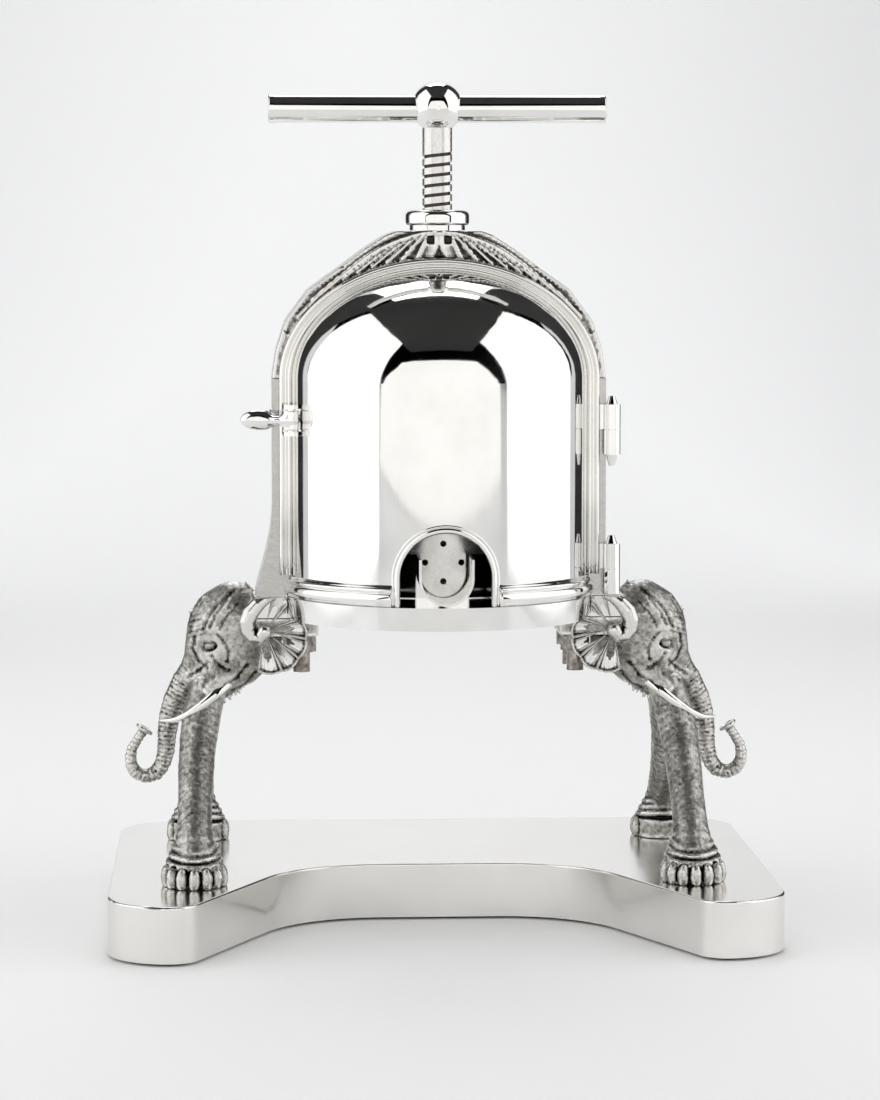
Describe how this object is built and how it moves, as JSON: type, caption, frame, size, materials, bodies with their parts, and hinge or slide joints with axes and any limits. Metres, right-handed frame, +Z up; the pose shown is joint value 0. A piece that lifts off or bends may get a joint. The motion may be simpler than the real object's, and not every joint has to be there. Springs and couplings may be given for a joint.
{
  "type": "duck press",
  "caption": "Table-top duck press: domed pressing chamber with hinged door and spout, worked by a T-handled screw, on elephant supports and a heavy base.",
  "frame": {"origin": "on the ground at the centre of the base, on the axis of the screw", "axes": "+Z up along the screw, +X towards the door's hinges, -Y towards the door and spout"},
  "size_m": [0.466, 0.356, 0.6],
  "materials": {
    "polished_silver": "polished silver plate with fine polishing marks",
    "antique_silver": "chased and oxidised silver plate, rubbed bright on the high points",
    "satin_silver": "satin silver plate",
    "steel": "dull steel",
    "felt": "green baize"
  },
  "bodies": {
    "frame": {"arch_crown": "polished_silver", "base_casing": "polished_silver", "base_cover": "steel", "base_cover_screws": "steel", "base_pad": "felt", "column_dowels": "steel", "column_left": "polished_silver", "column_right": "polished_silver", "ear_front_left": "antique_silver", "ear_front_right": "antique_silver", "ear_rear_left": "antique_silver", "ear_rear_right": "antique_silver", "elephant_head_left": "antique_silver", "elephant_head_right": "antique_silver", "frame_nuts": "steel", "frame_studs": "steel", "frame_washers": "steel", "hinge_pins": "polished_silver", "juice_tray": "satin_silver", "latch_keeper": "polished_silver", "leg_front_left": "antique_silver", "leg_front_right": "antique_silver", "leg_nuts": "steel", "leg_rear_left": "antique_silver", "leg_rear_right": "antique_silver", "leg_studs": "steel", "leg_washers": "steel", "lower_hinge_frame_half": "polished_silver", "nut_bush": "polished_silver", "nut_lock_screw": "steel", "press_table": "polished_silver", "rear_rim": "polished_silver", "rear_ring": "polished_silver", "rear_shell": "polished_silver", "rear_shell_screws": "steel", "strainer": "satin_silver", "table_centre_plug": "polished_silver", "tusk_front_left": "polished_silver", "tusk_front_right": "polished_silver", "tusk_rear_left": "polished_silver", "tusk_rear_right": "polished_silver", "upper_hinge_frame_half": "polished_silver"},
    "press_plate": {"press_plate": "polished_silver", "swivel_keeper": "polished_silver", "keeper_screws": "steel"},
    "screw": {"screw_spindle": "polished_silver", "ball_hub": "polished_silver", "tbar": "polished_silver", "tbar_caps": "polished_silver", "ball_pin": "polished_silver"},
    "door": {"door_shell": "polished_silver", "door_rim": "polished_silver", "door_ring": "polished_silver", "notch_moulding": "polished_silver", "upper_hinge_door_half": "polished_silver", "lower_hinge_door_half": "polished_silver", "latch_lug": "polished_silver", "latch_pin": "polished_silver"},
    "latch": {"latch_lever": "polished_silver"}
  },
  "joints": [
    {"name": "press_travel", "type": "slide", "parent": "frame", "child": "press_plate", "axis": [0, 0, 1], "range_m": [-0.04, 0.098]},
    {"name": "screw_turn", "type": "hinge", "parent": "press_plate", "child": "screw", "pos_m": [0, 0, 0.5], "axis": [0, 0, 1], "range_deg": [-2040, 5030]},
    {"name": "door_swing", "type": "hinge", "parent": "frame", "child": "door", "pos_m": [0.122, -0.0355, 0.3], "axis": [0, 0, 1], "range_deg": [0, 110]},
    {"name": "latch_turn", "type": "hinge", "parent": "door", "child": "latch", "pos_m": [-0.1055, -0.054, 0.362], "axis": [0, 0, 1], "range_deg": [0, 75]}
  ],
  "couplings": [
    {"joint": "press_travel", "follows": "screw_turn", "m_per_rad": 0.0011141}
  ]
}
